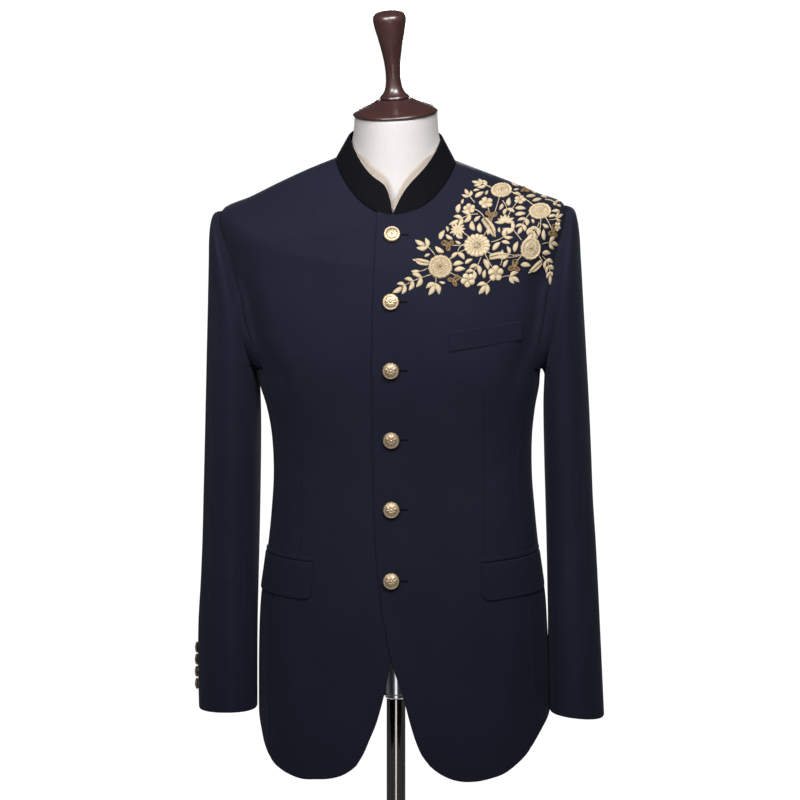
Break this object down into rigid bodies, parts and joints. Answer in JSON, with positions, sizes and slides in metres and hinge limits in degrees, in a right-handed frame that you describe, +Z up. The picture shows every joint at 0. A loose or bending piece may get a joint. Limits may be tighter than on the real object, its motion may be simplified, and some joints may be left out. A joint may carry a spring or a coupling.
{
  "type": "wedding coat on a limbless dress form",
  "caption": "High-buttoned navy wedding coat with a stand collar and an embroidered shoulder, worn by a limbless dress form on a pole stand.",
  "frame": {"origin": "centre of the base plate's underside, on the floor and on the pole's axis", "axes": "+Z up; the coat's front faces -Y; the wearer's left is +X"},
  "size_m": [0.5363, 0.36, 1.626],
  "materials": {
    "navy_wool": "matt worsted wool with a soft sheen",
    "collar_wool": "dense matt worsted wool",
    "cream_cotton": "plain woven cotton",
    "gold_button": "polished pale gold plate",
    "gold_thread": "satin-stitched metallic thread",
    "form_linen": "taut off-white linen jersey",
    "dark_wood": "dark stain under gloss lacquer",
    "bright_steel": "polished",
    "dark_steel": "polished, dark plated"
  },
  "bodies": {
    "root": {"front_left": "navy_wool", "front_right": "navy_wool", "side_left": "navy_wool", "side_right": "navy_wool", "back_left": "navy_wool", "back_right": "navy_wool", "top_sleeve_left": "navy_wool", "top_sleeve_right": "navy_wool", "under_sleeve_left": "navy_wool", "under_sleeve_right": "navy_wool", "breast_welt": "navy_wool", "flap_left": "navy_wool", "flap_right": "navy_wool", "jetting_left": "navy_wool", "jetting_right": "navy_wool", "collar": "collar_wool", "collar_strip_left": "cream_cotton", "collar_strip_right": "cream_cotton", "button_1": "gold_button", "button_2": "gold_button", "button_3": "gold_button", "button_4": "gold_button", "button_5": "gold_button", "button_6": "gold_button", "cuff_button_left_1": "gold_button", "cuff_button_left_2": "gold_button", "cuff_button_left_3": "gold_button", "cuff_button_left_4": "gold_button", "cuff_button_right_1": "gold_button", "cuff_button_right_2": "gold_button", "cuff_button_right_3": "gold_button", "cuff_button_right_4": "gold_button", "shoulder_embroidery": "gold_thread", "dress_form": "form_linen", "neck_cap": "dark_wood", "cap_knob": "dark_wood", "ferrule": "bright_steel", "pole": "dark_steel", "base": "dark_steel"}
  },
  "joints": []
}
